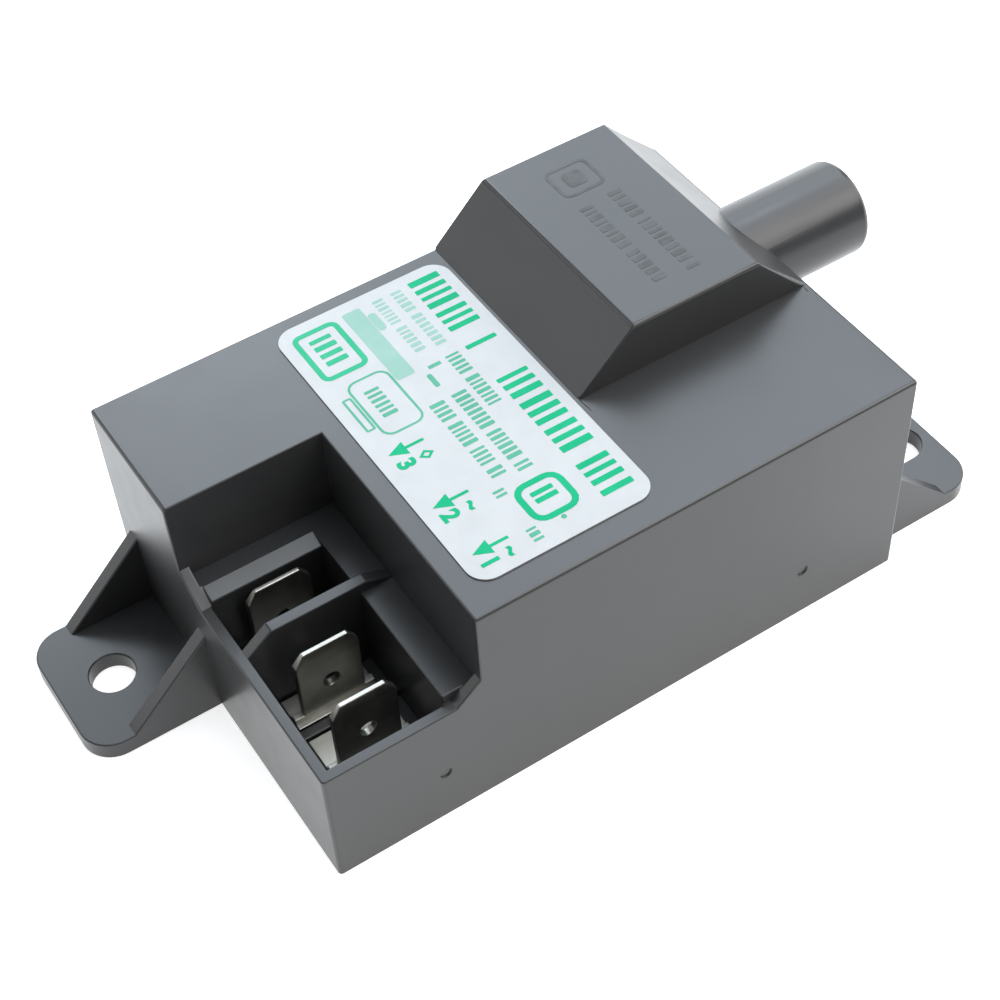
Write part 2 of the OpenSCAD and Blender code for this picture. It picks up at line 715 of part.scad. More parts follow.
// Flat power package that stands on its three leads, with its fixing hole
module thyristor() {
    z0 = board_top + thyristor_lift;
    color("#2b2d30") {
        difference() {
            block([thyristor_x - thyristor_w / 2, thyristor_y - thyristor_t / 2, z0],
                  [thyristor_x + thyristor_w / 2, thyristor_y + thyristor_t / 2, z0 + thyristor_h]);
            translate([thyristor_x, 0, z0 + thyristor_h - thyristor_hole_d])
                bar_y(thyristor_y - thyristor_t, thyristor_y + thyristor_t, thyristor_hole_d);
        }
        leads(thyristor_leads, z0 + eps);
    }
}

module circuit_board() {
    color("#4c6b3a") difference() {
        block([board_x0, -board_y1, board_z], [board_x1, board_y1, board_top]);
        for (p = all_leads) translate([p[0], p[1], board_z - eps])
            cylinder(h = board_t + 2 * eps, d = lead_d + 2 * lead_gap);
        leg_bars(board_z - eps, board_top + eps, leg_gap);
    }
}

// Solder cones under the board, round every lead and every tab's leg
module solder_cones() {
    translate([0, 0, board_z - solder_h]) {
        for (p = all_leads) translate([p[0], p[1], 0])
            cylinder(h = solder_h, d1 = solder_d * solder_taper, d2 = solder_d);
        for (tab = [tab_1, tab_2, tab_3]) translate([tab_mid_x, tab[0], 0])
            cylinder(h = solder_h, d1 = leg_solder_d * solder_taper, d2 = leg_solder_d);
    }
}

module solder_joints() {
    color("#b9bcc0") difference() {
        solder_cones();
        leads(all_leads, board_top);
        leg_bars(board_z - lead_tail, board_top, 0);
    }
}

module ferrite_core() {
    color("#3c3c40") translate([coil_mid_x, 0, coil_z])
        bar_y(former_y0 - core_out, bobbin_y1 + core_out, core_d);
}

// Thin tube on the core with a rim at its front end
module primary_former() {
    color("#d9d4c4") translate([coil_mid_x, 0, coil_z]) difference() {
        union() {
            bar_y(former_y0, bobbin_y1, former_d);
            bar_y(former_y0, former_y0 + former_t, primary_d + 2 * former_t);
        }
        bar_y(former_y0 - eps, bobbin_y1 + eps, core_d + 2 * coil_gap);
    }
}

module primary_winding() {
    color("#a5582e") translate([coil_mid_x, 0, coil_z]) difference() {
        bar_y(former_y0 + former_t, bobbin_y1 - former_t, primary_d);
        bar_y(former_y0, bobbin_y1, former_d);
    }
}

module primary_leads() {
    color("#b86a3a") leads(primary_points, coil_z);
}

// Chambered bobbin on two feet
module secondary_bobbin() {
    color("#e4e0d4") difference() {
        union() {
            translate([coil_mid_x, 0, coil_z]) {
                bar_y(bobbin_y0, bobbin_y1, bobbin_tube_d);
                for (y = [bobbin_y0, bobbin_y1 - flange_t]) bar_y(y, y + flange_t, bobbin_d);
                for (i = [1 : chambers - 1])
                    bar_y(chamber_y(i) - fin_t, chamber_y(i), bobbin_d);
            }
            for (y = [bobbin_y0, bobbin_y1 - flange_t])
                block([coil_mid_x - bobbin_foot_w / 2, y, board_top],
                      [coil_mid_x + bobbin_foot_w / 2, y + flange_t, coil_z]);
        }
        translate([coil_mid_x, 0, coil_z]) bar_y(bobbin_y0 - eps, bobbin_y1 + eps, bobbin_bore);
    }
}

// Fine wire in the bobbin's chambers
module secondary_winding() {
    color("#8c3f26") translate([coil_mid_x, 0, coil_z])
        for (i = [0 : chambers - 1]) difference() {
            bar_y(chamber_y(i), chamber_y(i + 1) - fin_t, winding_d);
            bar_y(chamber_y(i) - eps, chamber_y(i + 1), bobbin_tube_d);
        }
}

module return_lead() {
    color("#b86a3a") leads([return_point], coil_z);
}

// Lead from the contact pin's tail to the end flange of the bobbin
module hv_lead() {
    color("#d8d3c2") translate([0, 0, socket_z]) {
        translate([hv_lead_x, 0, 0]) bar_y(socket_y, hv_lead_y, hv_lead_d);
        translate([0, hv_lead_y, 0]) bar_x(coil_mid_x + hv_lead_in, hv_lead_x, hv_lead_d);
        for (p = [[hv_lead_x, socket_y, 0], [hv_lead_x, hv_lead_y, 0]]) translate(p) sphere(d = hv_lead_d);
    }
}

// Everything that the compound flows round
module potted_pieces() {
    block([board_x0, -board_y1, board_z], [board_x1, board_y1, board_top]);
    solder_cones();
    leads(all_leads, board_top);
    leg_bars(board_z - lead_tail, floor_z, 0);
    discharge_capacitor();
    suppression_capacitor();
    varistor();
    charging_resistor();
    rectifier_diode();
    trigger_diode();
    gate_resistor();
    thyristor();
    ferrite_core();
    translate([coil_mid_x, 0, coil_z]) {
        bar_y(former_y0, former_y0 + former_t, primary_d + 2 * former_t);
        bar_y(former_y0, bobbin_y0, primary_d);
        bar_y(bobbin_y0, bobbin_y1, winding_d);
    }
    secondary_bobbin();
    primary_leads();
    return_lead();
    hv_lead();
    hv_contact_pin();
}

module potting_compound() {
    color("#1f2022") difference() {
        cavity(fill_gap);
        potted_pieces();
    }
}

housing();
label();
terminal(tab_1);  // terminal_1
terminal(tab_2);  // terminal_2
terminal(tab_3);  // terminal_3
hv_contact_pin();
potting_compound();
circuit_board();
discharge_capacitor();
suppression_capacitor();
varistor();
charging_resistor();
rectifier_diode();
trigger_diode();
thyristor();
gate_resistor();
solder_joints();
ferrite_core();
primary_former();
primary_winding();
primary_leads();
secondary_bobbin();
secondary_winding();
return_lead();
hv_lead();
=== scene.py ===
"""Looks of the potted ignition transformer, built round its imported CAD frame."""
import math
import random

import bmesh
import bpy
from mathutils import Matrix, Vector
from mathutils.bvhtree import BVHTree


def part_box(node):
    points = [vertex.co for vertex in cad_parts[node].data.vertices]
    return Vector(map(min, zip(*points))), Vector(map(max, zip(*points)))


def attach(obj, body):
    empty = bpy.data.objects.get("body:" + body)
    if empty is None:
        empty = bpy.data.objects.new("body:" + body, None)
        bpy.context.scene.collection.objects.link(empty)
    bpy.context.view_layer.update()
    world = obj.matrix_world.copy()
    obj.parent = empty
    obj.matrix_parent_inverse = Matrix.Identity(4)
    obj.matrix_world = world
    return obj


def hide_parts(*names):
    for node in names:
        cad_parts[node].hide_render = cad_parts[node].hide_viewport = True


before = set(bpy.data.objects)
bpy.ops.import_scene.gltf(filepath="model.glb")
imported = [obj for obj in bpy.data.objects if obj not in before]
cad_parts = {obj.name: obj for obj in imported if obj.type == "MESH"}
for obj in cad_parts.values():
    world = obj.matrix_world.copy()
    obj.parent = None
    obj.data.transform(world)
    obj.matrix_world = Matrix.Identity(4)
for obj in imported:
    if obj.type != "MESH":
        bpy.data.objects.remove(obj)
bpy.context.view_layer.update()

MM = 0.001
SCENE = bpy.context.scene

# Camera fitted to the photograph: orbit angles in degrees, distances in metres
CAMERA_AZIMUTH = -30.084
CAMERA_ELEVATION = 49.133
CAMERA_ROLL = -3.828
CAMERA_DISTANCE = 189.599 * MM
CAMERA_TARGET = Vector((0.0, 1.503, 9.315)) * MM
CAMERA_LENS = 71.87
SENSOR_WIDTH = 36.0

# Softboxes: direction from the part, distance, width, height in metres, radiance, tint
SOFTBOXES = {
    "back_wall": ((0.33, 1.0, 0.12), 0.9, 1.4, 0.45, 2.0, (0.95, 1.0, 1.04)),
    "back_mid": ((0.33, 0.85, 0.42), 0.8, 0.8, 0.35, 0.8, (0.95, 1.0, 1.04)),
    "back_high": ((0.41, 0.56, 0.72), 0.8, 0.45, 0.5, 3.2, (0.87, 1.0, 1.12)),
    "back_left": ((0.05, 0.76, 0.62), 0.8, 0.4, 0.3, 5.3, (0.9, 1.0, 1.09)),
    "overhead": ((0.24, 0.08, 0.97), 0.8, 0.5, 0.8, 3.7, (0.93, 1.0, 1.06)),
    "front_high": ((0.46, -0.46, 0.76), 0.8, 0.45, 0.55, 4.7, (1.02, 1.0, 0.98)),
    "left": ((-0.74, 0.57, 0.35), 0.9, 0.5, 0.5, 1.6, (1.0, 1.0, 0.99)),
    "right": ((0.98, -0.1, 0.5), 0.9, 0.6, 0.6, 3.5, (1.0, 0.99, 0.98)),
}
SKY_STRENGTH = 0.28
FLOOR_SIZE = 40.0
FLOOR_GLOW = 0.74

# Places on the body that the scene refines, as in part.scad, in metres
BODY_END_X = 31.0 * MM
BODY_FRONT_Y = -19.9 * MM
BODY_BACK_Y = 19.9 * MM
DECK_Z = 25.0 * MM
BLOCK_FRONT_Y = -4.5 * MM
LEDGE_Z = 15.6 * MM
LEDGE_BEVEL_Y = 2.9 * MM
LEDGE_BEVEL_EXTRA = 0.5 * MM
SAME_PLACE = 0.02 * MM
EJECTOR_MARKS = ((-19.6 * MM, 6.4 * MM), (19.6 * MM, 6.4 * MM))
EJECTOR_RADIUS = 0.56 * MM
EJECTOR_FLOOR = 0.3 * MM
EJECTOR_MIDDLE = 0.31 * MM

# Foot of the raised block's slope: a point of the slope near its top, and how the wedge ends
SLOPE_TOP = (25.15 * MM, 30.35 * MM)
FOOT_INSET = 0.22 * MM
FOOT_SINK = 0.07 * MM
FOOT_HEEL = 0.7 * MM
FOOT_SIDE_GAP = 0.01 * MM
FOOT_ROUNDING = 0.35 * MM

# Rounding of sharp edges; a moved corner that leaves the surface by this share is set back
HOUSING_ROUNDING = 0.16 * MM
TAB_ROUNDING = 0.11 * MM
ROUNDING_SEGMENTS = 3
SHARP_EDGE = math.radians(30.0)
FLAT_TURN = math.radians(0.5)
STRAY_SHARE = 0.6

# Shading: largest turn that is smoothed, mean width of a narrow strip, largest turn of wide planes
SMOOTH_TURN = math.radians(40.0)
NARROW = 0.3 * MM
WIDE_TURN = math.radians(12.0)

# Heights of printed ink above the label, in millimetres
INK_LOW = -0.01
INK_HIGH = 0.012
PALE_INK_HIGH = 0.01


def add_camera():
    az, el, roll = (math.radians(a) for a in (CAMERA_AZIMUTH, CAMERA_ELEVATION, CAMERA_ROLL))
    back = Vector((math.sin(az) * math.cos(el), -math.cos(az) * math.cos(el), math.sin(el)))
    level = Vector((math.cos(az), math.sin(az), 0.0))
    upright = back.cross(level)
    right = math.cos(roll) * level + math.sin(roll) * upright
    up = -math.sin(roll) * level + math.cos(roll) * upright
    data = bpy.data.cameras.new("camera")
    data.sensor_width = SENSOR_WIDTH
    data.lens = CAMERA_LENS
    data.clip_start = 0.01
    camera = bpy.data.objects.new("camera", data)
    camera.matrix_world = Matrix.Translation(CAMERA_TARGET + back * CAMERA_DISTANCE) @ Matrix(
        (right, up, back)).transposed().to_4x4()
    SCENE.collection.objects.link(camera)
    SCENE.camera = camera


def add_softbox(name, direction, distance, width, height, radiance, tint):
    data = bpy.data.lights.new(name, "AREA")
    data.shape = "RECTANGLE"
    data.size, data.size_y = width, height
    data.energy = radiance * math.pi * width * height
    data.color = tint
    light = bpy.data.objects.new(name, data)
    light.location = Vector(direction).normalized() * distance
    light.rotation_euler = (-light.location).to_track_quat("-Z", "Y").to_euler()
    SCENE.collection.objects.link(light)


def add_sky():
    world = bpy.data.worlds.new("studio")
    world.use_nodes = True
    world.node_tree.nodes["Background"].inputs["Color"].default_value = (0.98, 0.99, 1.0, 1.0)
    world.node_tree.nodes["Background"].inputs["Strength"].default_value = SKY_STRENGTH
    SCENE.world = world


def add_floor():
    bpy.ops.mesh.primitive_plane_add(size=FLOOR_SIZE)
    floor = bpy.context.object
    floor.name = "floor"
    paper = Surface("floor_paper", roughness=0.9)
    paper.shader.inputs["Emission Color"].default_value = (1.0, 1.0, 1.0, 1.0)
    paper.shader.inputs["Emission Strength"].default_value = FLOOR_GLOW
    paper.color(paper.blend(paper.noise(900.0), (0.62, 0.62, 0.62), (0.68, 0.68, 0.68)))
    floor.data.materials.append(paper.mat)


class Surface:
    """Node material with one Principled shader, fed by textures in object coordinates."""

    def __init__(self, name, roughness, metallic=0.0, ior=1.5):
        self.mat = bpy.data.materials.new(name)
        self.mat.use_nodes = True
        self.tree = self.mat.node_tree
        self.shader = self.tree.nodes["Principled BSDF"]
        self.shader.inputs["Roughness"].default_value = roughness
        self.shader.inputs["Metallic"].default_value = metallic
        self.shader.inputs["IOR"].default_value = ior
        self.coords = self.tree.nodes.new("ShaderNodeTexCoord")

    def node(self, kind, **sockets):
        made = self.tree.nodes.new(kind)
        for key, value in sockets.items():
            made.inputs[key.replace("_", " ")].default_value = value
        return made

    def link(self, source, target):
        self.tree.links.new(source, target)

    def stretched(self, scale):
        mapping = self.node("ShaderNodeMapping")
        mapping.inputs["Scale"].default_value = scale
        self.link(self.coords.outputs["Object"], mapping.inputs["Vector"])
        return mapping.outputs["Vector"]

    def noise(self, scale, detail=2.0, vector=None):
        made = self.node("ShaderNodeTexNoise", Scale=scale, Detail=detail)
        self.link(vector or self.coords.outputs["Object"], made.inputs["Vector"])
        return made.outputs["Fac"]

    def between(self, factor, low, high, low_in=0.3, high_in=0.7):
        made = self.node("ShaderNodeMapRange")
        for socket, value in zip(("From Min", "From Max", "To Min", "To Max"), (low_in, high_in, low, high)):
            made.inputs[socket].default_value = value
        self.link(factor, made.inputs["Value"])
        return made.outputs["Result"]

    def blend(self, factor, low, high, low_in=0.3, high_in=0.7):
        ramp = self.node("ShaderNodeValToRGB")
        ramp.color_ramp.elements[0].position = low_in
        ramp.color_ramp.elements[1].position = high_in
        ramp.color_ramp.elements[0].color = (*low, 1.0)
        ramp.color_ramp.elements[1].color = (*high, 1.0)
        self.link(factor, ramp.inputs["Fac"])
        return ramp.outputs["Color"]

    def color(self, output):
        self.link(output, self.shader.inputs["Base Color"])
        return self

    def roughness(self, output):
        self.link(output, self.shader.inputs["Roughness"])
        return self

    def bumps(self, *layers):
        """Each layer is (height output, depth in metres)."""
        normal = None
        for height, depth in layers:
            bump = self.node("ShaderNodeBump", Strength=1.0, Distance=depth)
            self.link(height, bump.inputs["Height"])
            if normal:
                self.link(normal, bump.inputs["Normal"])
            normal = bump.outputs["Normal"]
        self.link(normal, self.shader.inputs["Normal"])
        return self


def moulded_plastic():
    made = Surface("moulded_black", roughness=0.31)
    made.color(made.blend(made.noise(70.0, 1.5), (0.0215, 0.022, 0.023), (0.029, 0.0295, 0.0308), 0.0, 1.0))
    made.roughness(made.between(made.noise(260.0, 1.5), 0.28, 0.34, 0.1, 0.9))
    made.bumps((made.noise(130.0, 1.0), 0.000006), (made.noise(3500.0, 1.0), 0.0000006))
    return made.mat


def raised_character_plastic():
    made = Surface("moulded_black_matt", roughness=0.5)
    made.color(made.blend(made.noise(70.0, 4.0), (0.024, 0.025, 0.026), (0.03, 0.031, 0.033)))
    made.roughness(made.between(made.noise(900.0, 4.0), 0.42, 0.6))
    made.bumps((made.noise(3000.0, 3.0), 0.00001))
    return made.mat


def cast_compound():
    made = Surface("cast_compound", roughness=0.2)
    made.color(made.blend(made.noise(140.0, 3.0), (0.018, 0.018, 0.02), (0.03, 0.03, 0.032)))
    made.roughness(made.between(made.noise(300.0, 4.0), 0.14, 0.26))
    made.bumps((made.noise(110.0, 2.0), 0.0002), (made.noise(2500.0, 2.0), 0.000006))
    return made.mat


def tinned_metal():
    made = Surface("tinned_metal", roughness=0.36, metallic=1.0)
    grain = made.noise(3000.0, 1.0, made.stretched((1.0, 1.0, 0.05)))
    made.color(made.blend(made.noise(500.0, 4.0), (0.3, 0.293, 0.27), (0.37, 0.363, 0.335)))
    made.roughness(made.between(grain, 0.33, 0.43, 0.1, 0.9))
    made.bumps((grain, 0.0000006))
    return made.mat


def turned_brass():
    made = Surface("turned_brass", roughness=0.25, metallic=1.0)
    rings = made.noise(2500.0, 3.0, made.stretched((1.0, 0.05, 0.05)))
    made.color(made.blend(rings, (0.66, 0.5, 0.25), (0.78, 0.62, 0.34)))
    made.roughness(made.between(rings, 0.17, 0.26))
    made.bumps((rings, 0.000005))
    return made.mat


def printed_film(name, low, high, roughness, ior=1.15):
    made = Surface(name, roughness=roughness, ior=ior)
    made.color(made.blend(made.noise(350.0, 4.0), low, high))
    made.roughness(made.between(made.noise(1200.0, 3.0), roughness - 0.06, roughness + 0.08))
    made.bumps((made.noise(700.0, 2.0), 0.000004), (made.noise(9000.0, 2.0), 0.000001))
    return made.mat


def coated(name, low, high, roughness, metallic=0.0, scale=600.0):
    made = Surface(name, roughness=roughness, metallic=metallic)
    made.color(made.blend(made.noise(scale, 4.0), low, high))
    made.roughness(made.between(made.noise(scale * 2.0, 3.0), roughness - 0.06, roughness + 0.1))
    made.bumps((made.noise(scale * 1.5, 3.0), 0.00002))
    return made.mat


def wound_wire(name, low, high, pitch):
    """Turns of wire round the coil's axis, which runs along Y, with painted shade in the grooves between
    turns.
    """
    made = Surface(name, roughness=0.35, metallic=0.6)
    wave = made.node("ShaderNodeTexWave", Scale=1.0 / (pitch * 20.0), Distortion=0.3, Detail=1.0)
    wave.bands_direction = "Y"
    made.link(made.coords.outputs["Object"], wave.inputs["Vector"])
    # painted shade: the colour follows the bump's height, dark in the grooves between turns and full copper
    # on their crowns
    made.color(made.blend(wave.outputs["Fac"], low, high))
    made.bumps((wave.outputs["Fac"], pitch * 0.3))
    return made.mat


def dress(node, mat):
    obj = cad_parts[node]
    obj.data.materials.clear()
    obj.data.materials.append(mat)


def new_piece(name, mesh, mat):
    piece = bpy.data.objects.new(name, mesh)
    SCENE.collection.objects.link(piece)
    mesh.materials.clear()
    mesh.materials.append(mat)
    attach(piece, "root")
    return piece


def flat_regions(mesh):
    """Area and mean width of the flat region that each face belongs to."""
    parent = list(range(len(mesh.polygons)))

    def root(i):
        while parent[i] != i:
            parent[i] = parent[parent[i]]
            i = parent[i]
        return i

    sharing = {}
    for face in mesh.polygons:
        for key in face.edge_keys:
            sharing.setdefault(key, []).append(face.index)
    for pair in sharing.values():
        if len(pair) == 2:
            a, b = (mesh.polygons[i] for i in pair)
            if a.normal.dot(b.normal) > math.cos(FLAT_TURN):
                parent[root(a.index)] = root(b.index)
    area, corners = {}, {}
    for face in mesh.polygons:
        area[root(face.index)] = area.get(root(face.index), 0.0) + face.area
        corners.setdefault(root(face.index), []).extend(mesh.vertices[i].co for i in face.vertices)
    width = {}
    for region, places in corners.items():
        spans = [max(co[axis] for co in places) - min(co[axis] for co in places) for axis in range(3)]
        width[region] = area[region] / Vector(spans).length
    return [(area[root(face.index)], width[root(face.index)]) for face in mesh.polygons]


def shade_by_area(mesh):
    """Corner normals that stay flat on big faces and turn smoothly over the narrow ones."""
    regions = flat_regions(mesh)
    around = [[] for _ in mesh.vertices]
    for face in mesh.polygons:
        for corner in face.vertices:
            around[corner].append(face.index)
    normals = [Vector((0.0, 0.0, 1.0))] * len(mesh.loops)
    for face in mesh.polygons:
        for loop in face.loop_indices:
            total = Vector()
            for other in around[mesh.loops[loop].vertex_index]:
                narrow = min(regions[other][1], regions[face.index][1]) < NARROW
                turn = SMOOTH_TURN if narrow else WIDE_TURN
                if mesh.polygons[other].normal.dot(face.normal) > math.cos(turn):
                    total += mesh.polygons[other].normal * regions[other][0]
            normals[loop] = total.normalized() if total.length > 0.0 else face.normal.copy()
    for face in mesh.polygons:
        face.use_smooth = True
    mesh.normals_split_custom_set(normals)


def widen_ledge_bevel(bm):
    """The far ledge of the recess slopes over half its width, as in the photograph."""
    for vert in bm.verts:
        if abs(vert.co.z - LEDGE_Z) < SAME_PLACE and abs(vert.co.y - LEDGE_BEVEL_Y) < SAME_PLACE:
            vert.co.y += LEDGE_BEVEL_EXTRA


def with_round_edges(node, mat, width, reshape=None):
    """Copy of a CAD node whose sharp outer edges are rounded; it stands for the node."""
    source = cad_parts[node]
    mesh = bpy.data.meshes.new(node + "_rounded")
    bm = bmesh.new()
    bm.from_mesh(source.data)
    bm.transform(source.matrix_world)
    bmesh.ops.remove_doubles(bm, verts=bm.verts, dist=1e-7)
    bmesh.ops.dissolve_limit(bm, angle_limit=FLAT_TURN, verts=bm.verts, edges=bm.edges)
    if reshape:
        reshape(bm)
    surface = BVHTree.FromBMesh(bm)
    outer = [edge for edge in bm.edges
             if len(edge.link_faces) == 2 and edge.calc_face_angle_signed() > SHARP_EDGE]
    bmesh.ops.bevel(bm, geom=outer, offset=width, offset_type="OFFSET", segments=ROUNDING_SEGMENTS,
                    profile=0.5, affect="EDGES", clamp_overlap=False, loop_slide=True)
    for vert in bm.verts:
        place, _, _, distance = surface.find_nearest(vert.co)
        if distance > STRAY_SHARE * width:
            vert.co = place
    bmesh.ops.recalc_face_normals(bm, faces=bm.faces)
    bm.to_mesh(mesh)
    bm.free()
    shade_by_area(mesh)
    piece = new_piece(node + "_rounded", mesh, mat)
    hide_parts(node)
    return piece


def add_block_foot(mat):
    """Thin wedge that carries the raised block's slope down to the body's end."""
    foot_z = DECK_Z - FOOT_SINK
    profile = (SLOPE_TOP, (BODY_END_X - FOOT_INSET, foot_z), (BODY_END_X - FOOT_HEEL, foot_z))
    bm = bmesh.new()
    rings = [[bm.verts.new((x, y, z)) for x, z in profile]
             for y in (BLOCK_FRONT_Y + FOOT_SIDE_GAP, BODY_BACK_Y - FOOT_SIDE_GAP)]
    for i in range(3):
        bm.faces.new((rings[0][i], rings[0][(i + 1) % 3], rings[1][(i + 1) % 3], rings[1][i]))
    ends = [bm.faces.new(ring) for ring in rings]
    bmesh.ops.recalc_face_normals(bm, faces=bm.faces)
    slope_ends = [edge for face in ends for edge in face.edges
                  if any(set(ring[:2]) == set(edge.verts) for ring in rings)]
    bmesh.ops.bevel(bm, geom=slope_ends, offset=FOOT_ROUNDING, offset_type="OFFSET", segments=4, profile=0.5,
                    affect="EDGES", clamp_overlap=True)
    mesh = bpy.data.meshes.new("block_foot")
    bm.to_mesh(mesh)
    bm.free()
    shade_by_area(mesh)
    new_piece("block_foot", mesh, mat)


def add_ejector_marks(mat):
    """Shallow floors of the two round ejector marks in the front."""
    for n, (x, z) in enumerate(EJECTOR_MARKS, 1):
        bm = bmesh.new()
        bmesh.ops.create_cone(bm, cap_ends=True, segments=32, radius1=EJECTOR_RADIUS, radius2=EJECTOR_RADIUS,
                              depth=EJECTOR_FLOOR,
                              matrix=Matrix.Translation((x, BODY_FRONT_Y + EJECTOR_MIDDLE, z))
                              @ Matrix.Rotation(math.radians(90.0), 4, "X"))
        mesh = bpy.data.meshes.new("ejector_mark_%d" % n)
        bm.to_mesh(mesh)
        bm.free()
        new_piece("ejector_mark_%d" % n, mesh, mat)


def rounded_corners(x0, y0, x1, y1, radius, steps=4):
    """Outline of a rectangle with round corners, anticlockwise."""
    radius = min(radius, 0.5 * (x1 - x0), 0.5 * (y1 - y0))
    outline = []
    for cx, cy, start in ((x1 - radius, y1 - radius, 0), (x0 + radius, y1 - radius, 90),
                          (x0 + radius, y0 + radius, 180), (x1 - radius, y0 + radius, 270)):
        for step in range(steps + 1):
            a = math.radians(start + 90.0 * step / steps)
            outline.append((cx + radius * math.cos(a), cy + radius * math.sin(a)))
    return outline


def add_slab(bm, outlines, place, low, high):
    """Flat solid between two heights; a second outline is the hole of a frame."""
    rings = []
    for outline in outlines:
        rings.append([[bm.verts.new(place(u, v, h)) for u, v in outline] for h in (low, high)])
    sides = []
    for low_ring, high_ring in rings:
        n = len(low_ring)
        sides += [bm.faces.new((low_ring[i], low_ring[(i + 1) % n], high_ring[(i + 1) % n], high_ring[i]))
                  for i in range(n)]
    if len(rings) == 1:
        bm.faces.new(rings[0][1])
        bm.faces.new(list(reversed(rings[0][0])))
    else:
        (low_out, high_out), (low_in, high_in) = rings
        n = len(low_out)
        for i in range(n):
            j = (i + 1) % n
            bm.faces.new((high_out[i], high_out[j], high_in[j], high_in[i]))
            bm.faces.new((low_out[j], low_out[i], low_in[i], low_in[j]))


def slab_piece(name, shapes, place, low, high, mat):
    bm = bmesh.new()
    for outlines in shapes:
        add_slab(bm, outlines, place, low, high)
    bmesh.ops.recalc_face_normals(bm, faces=bm.faces)
    mesh = bpy.data.meshes.new(name)
    bm.to_mesh(mesh)
    bm.free()
    return new_piece(name, mesh, mat)


def dashes(start, end, low, high, rng, glyph=(0.24, 0.5), space=0.26, word=(4, 9), word_space=0.7):
    """Row of short bars in word-like groups, where the photograph has small print."""
    shapes = []
    at = start
    while at < end:
        for _ in range(rng.randint(*word)):
            width = rng.uniform(*glyph)
            if at + width > end:
                return shapes
            shapes.append([rounded_corners(at, low, at + width, high, 0.1)])
            at += width + space
        at += word_space - space
    return shapes


def framed(x0, y0, x1, y1, line, radius):
    return [rounded_corners(x0, y0, x1, y1, radius),
            rounded_corners(x0 + line, y0 + line, x1 - line, y1 - line, max(radius - line, 0.05))]


def arrow(at, tip, tail, half_head=0.82, head=1.75, half_shaft=0.16):
    """Outlines of an arrow that points down to its tip."""
    neck = tip + head
    return [[(at, tip), (at + half_head, neck), (at + half_shaft, neck), (at + half_shaft, tail),
             (at - half_shaft, tail), (at - half_shaft, neck), (at - half_head, neck)]]


def diamond(at, level, half_width, half_height, line):
    """Outlines of a small diamond-shaped frame."""
    return [[(at + w, level), (at, level + h), (at - w, level), (at, level - h)]
            for w, h in ((half_width, half_height), (half_width - line * 1.5, half_height - line * 2.0))]


def wave(at, level, length=1.1, swing=0.13, line=0.2):
    """Outline of one small wave, as beside an alternating-current terminal."""
    steps = 12
    middle = [(at - length / 2 + length * i / steps, level + swing * math.sin(2 * math.pi * i / steps))
              for i in range(steps + 1)]
    return [[(u, v - line) for u, v in middle] + [(u, v + line) for u, v in reversed(middle)]]


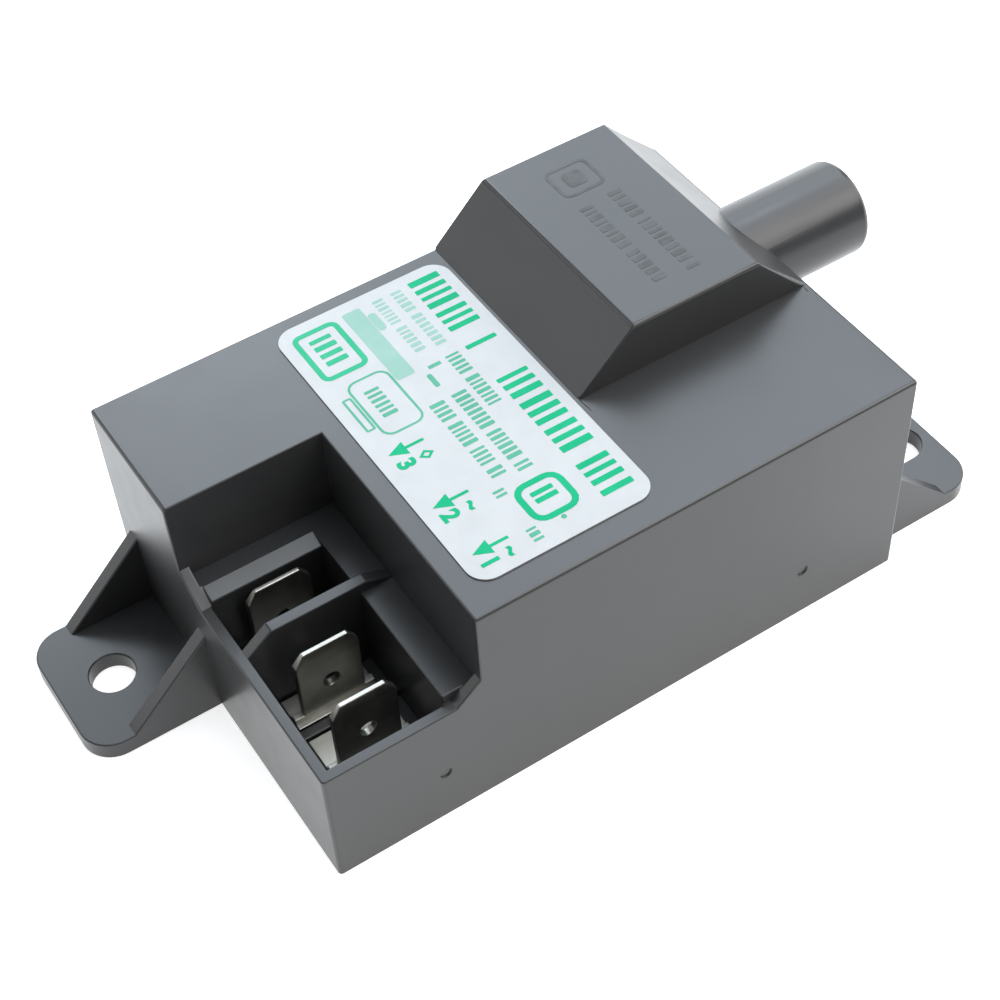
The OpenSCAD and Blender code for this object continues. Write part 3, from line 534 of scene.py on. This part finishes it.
def add_label_print(strong, middle, faint, pale):
    """Generic print: plain bars, fields and arrows, and the numbers of the three tabs.

    Places are in millimetres, along the label from its back end and up it from the tabs.
    """
    (x0, _, _), (_, y1, top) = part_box("label")

    def place(along, up, height):
        return Vector((x0 + up * MM, y1 - along * MM, top + height * MM))

    rng = random.Random(7)
    title = []
    for start, end in ((1.2, 9.3), (11.3, 12.3), (16.5, 27.5), (29.0, 33.9)):
        title += dashes(start, end, 13.9, 17.1, rng, glyph=(0.5, 0.8), space=0.52, word=(3, 4),
                        word_space=0.75)
    arrows = [arrow(at, 1.35, 4.9) for at in (18.8, 26.1, 32.3)]
    marks = [wave(27.6, 4.2), wave(33.7, 4.2), diamond(20.5, 4.2, 0.55, 0.75, 0.2),
             framed(28.1, 7.6, 32.8, 12.4, 0.62, 1.4)]
    marks += dashes(29.4, 31.6, 8.9, 11.1, rng, glyph=(0.5, 0.6), space=0.3)
    slab_piece("label_print_strong", title + arrows + marks, place, INK_LOW, INK_HIGH, strong)

    signs = [framed(1.3, 1.2, 8.1, 6.0, 0.55, 0.9)]
    signs += dashes(2.6, 6.9, 2.5, 4.7, rng, glyph=(0.5, 0.7), space=0.45)
    slab_piece("label_print_middle", signs, place, INK_LOW, INK_HIGH, middle)

    small = [framed(9.3, 2.3, 16.9, 6.6, 0.24, 1.1), framed(10.8, 1.25, 15.4, 2.2, 0.22, 0.2)]
    small += dashes(11.0, 15.2, 3.4, 4.9, rng, glyph=(0.24, 0.5), space=0.3)
    small += dashes(11.4, 19.2, 11.7, 13.1, rng) + dashes(15.8, 27.2, 9.6, 11.1, rng)
    small += dashes(15.8, 26.7, 7.3, 8.8, rng) + dashes(11.5, 12.2, 9.8, 11.1, rng)
    small += dashes(27.5, 28.4, 6.4, 7.5, rng) + dashes(32.6, 34.4, 6.4, 7.4, rng)
    small += [[rounded_corners(12.4, 9.1, 14.2, 9.6, 0.2)], [rounded_corners(32.9, 9.7, 33.4, 10.2, 0.25)]]
    slab_piece("label_print_fine", small, place, INK_LOW, INK_HIGH, faint)

    soft = [[rounded_corners(1.3, 6.7, 11.5, 8.6, 0.3)], [rounded_corners(2.6, 8.66, 5.2, 9.5, 0.4)]]
    soft += dashes(1.4, 9.9, 11.9, 13.0, rng) + dashes(1.4, 9.9, 9.9, 11.0, rng)
    slab_piece("label_print_pale", soft, place, INK_LOW, PALE_INK_HIGH, pale)

    for number, along in ((1, 33.75), (2, 27.6), (3, 20.5)):
        curve = bpy.data.curves.new("tab_number_%d" % number, "FONT")
        curve.body = str(number)
        curve.size = 2.25 * MM
        curve.offset = 0.1 * MM
        curve.extrude = 0.0125 * MM
        curve.align_x = "CENTER"
        text = bpy.data.objects.new("number_outline_%d" % number, curve)
        SCENE.collection.objects.link(text)
        bpy.context.view_layer.update()
        mesh = bpy.data.meshes.new_from_object(text.evaluated_get(bpy.context.evaluated_depsgraph_get()))
        bpy.data.objects.remove(text)
        turn = Matrix(((0.0, 1.0, 0.0), (-1.0, 0.0, 0.0), (0.0, 0.0, 1.0))).to_4x4()
        mesh.transform(Matrix.Translation(place(along, 1.45, 0.0025)) @ turn)
        new_piece("tab_number_%d" % number, mesh, strong)


def add_block_relief(mat):
    """Faint raised bars on the raised block, where the photograph has moulded characters."""
    rng = random.Random(3)
    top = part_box("housing")[1][2]

    def place(along, up, height):
        return Vector((up * MM, -along * MM, top + height * MM))

    shapes = dashes(-11.2, 1.6, 19.2, 20.6, rng, glyph=(0.3, 0.75), space=0.34, word=(4, 8), word_space=0.8)
    shapes += dashes(-10.8, 1.1, 15.85, 17.2, rng, glyph=(0.3, 0.75), space=0.34, word=(4, 8), word_space=0.8)
    shapes += [framed(-16.9, 15.7, -12.6, 20.4, 0.35, 0.9), [rounded_corners(-15.8, 17.0, -13.7, 19.1, 0.5)]]
    slab_piece("block_relief", shapes, place, -0.05, 0.02, mat)


add_camera()
add_sky()
add_floor()
for name, values in SOFTBOXES.items():
    add_softbox("softbox_" + name, *values)

plastic = moulded_plastic()
tin = tinned_metal()
with_round_edges("housing", plastic, HOUSING_ROUNDING, reshape=widen_ledge_bevel)
add_block_foot(plastic)
add_ejector_marks(plastic)
add_block_relief(raised_character_plastic())
dress("label", printed_film("label_film", (0.35, 0.361, 0.368), (0.374, 0.385, 0.392), 0.4, ior=1.45))
add_label_print(printed_film("green_ink", (0.004, 0.285, 0.135), (0.008, 0.315, 0.155), 0.45),
                printed_film("green_ink_sign", (0.024, 0.305, 0.168), (0.038, 0.335, 0.19), 0.45),
                printed_film("green_ink_fine", (0.065, 0.28, 0.19), (0.09, 0.31, 0.215), 0.45),
                printed_film("green_ink_faint", (0.2, 0.355, 0.305), (0.24, 0.38, 0.34), 0.45))
for number in (1, 2, 3):
    with_round_edges("terminal_%d" % number, tin, TAB_ROUNDING)
dress("hv_contact_pin", turned_brass())
dress("potting_compound", cast_compound())
dress("circuit_board", coated("laminate", (0.06, 0.14, 0.05), (0.1, 0.2, 0.08), 0.45))
dress("discharge_capacitor", coated("red_dip", (0.35, 0.06, 0.03), (0.48, 0.1, 0.05), 0.35))
dress("suppression_capacitor", coated("yellow_case", (0.62, 0.42, 0.06), (0.72, 0.5, 0.09), 0.4))
dress("varistor", coated("blue_dip", (0.03, 0.1, 0.35), (0.05, 0.15, 0.45), 0.35))
dress("charging_resistor", coated("cement", (0.2, 0.33, 0.26), (0.3, 0.44, 0.35), 0.6))
dress("gate_resistor", coated("lacquer", (0.55, 0.38, 0.2), (0.66, 0.48, 0.28), 0.35))
moulded_epoxy = coated("moulded_epoxy", (0.018, 0.018, 0.02), (0.03, 0.03, 0.034), 0.45, scale=2500.0)
for node in ("rectifier_diode", "trigger_diode", "thyristor"):
    dress(node, moulded_epoxy)
dress("solder_joints", coated("solder", (0.6, 0.61, 0.62), (0.75, 0.76, 0.77), 0.35, metallic=1.0))
dress("ferrite_core", coated("ferrite", (0.04, 0.04, 0.045), (0.07, 0.07, 0.075), 0.5, scale=2500.0))
bobbin_plastic = coated("bobbin_plastic", (0.68, 0.64, 0.54), (0.78, 0.74, 0.64), 0.5)
for node in ("primary_former", "secondary_bobbin"):
    dress(node, bobbin_plastic)
dress("primary_winding", wound_wire("copper_turns", (0.3, 0.1, 0.03), (0.72, 0.32, 0.14), 0.5 * MM))
dress("secondary_winding", wound_wire("fine_turns", (0.2, 0.05, 0.02), (0.5, 0.18, 0.08), 0.12 * MM))
enamel = coated("enamel", (0.5, 0.2, 0.08), (0.65, 0.28, 0.12), 0.3, metallic=0.8)
for node in ("primary_leads", "return_lead"):
    dress(node, enamel)
dress("hv_lead", coated("sleeve", (0.7, 0.65, 0.52), (0.8, 0.75, 0.62), 0.5))

SCENE.view_settings.view_transform = "Standard"
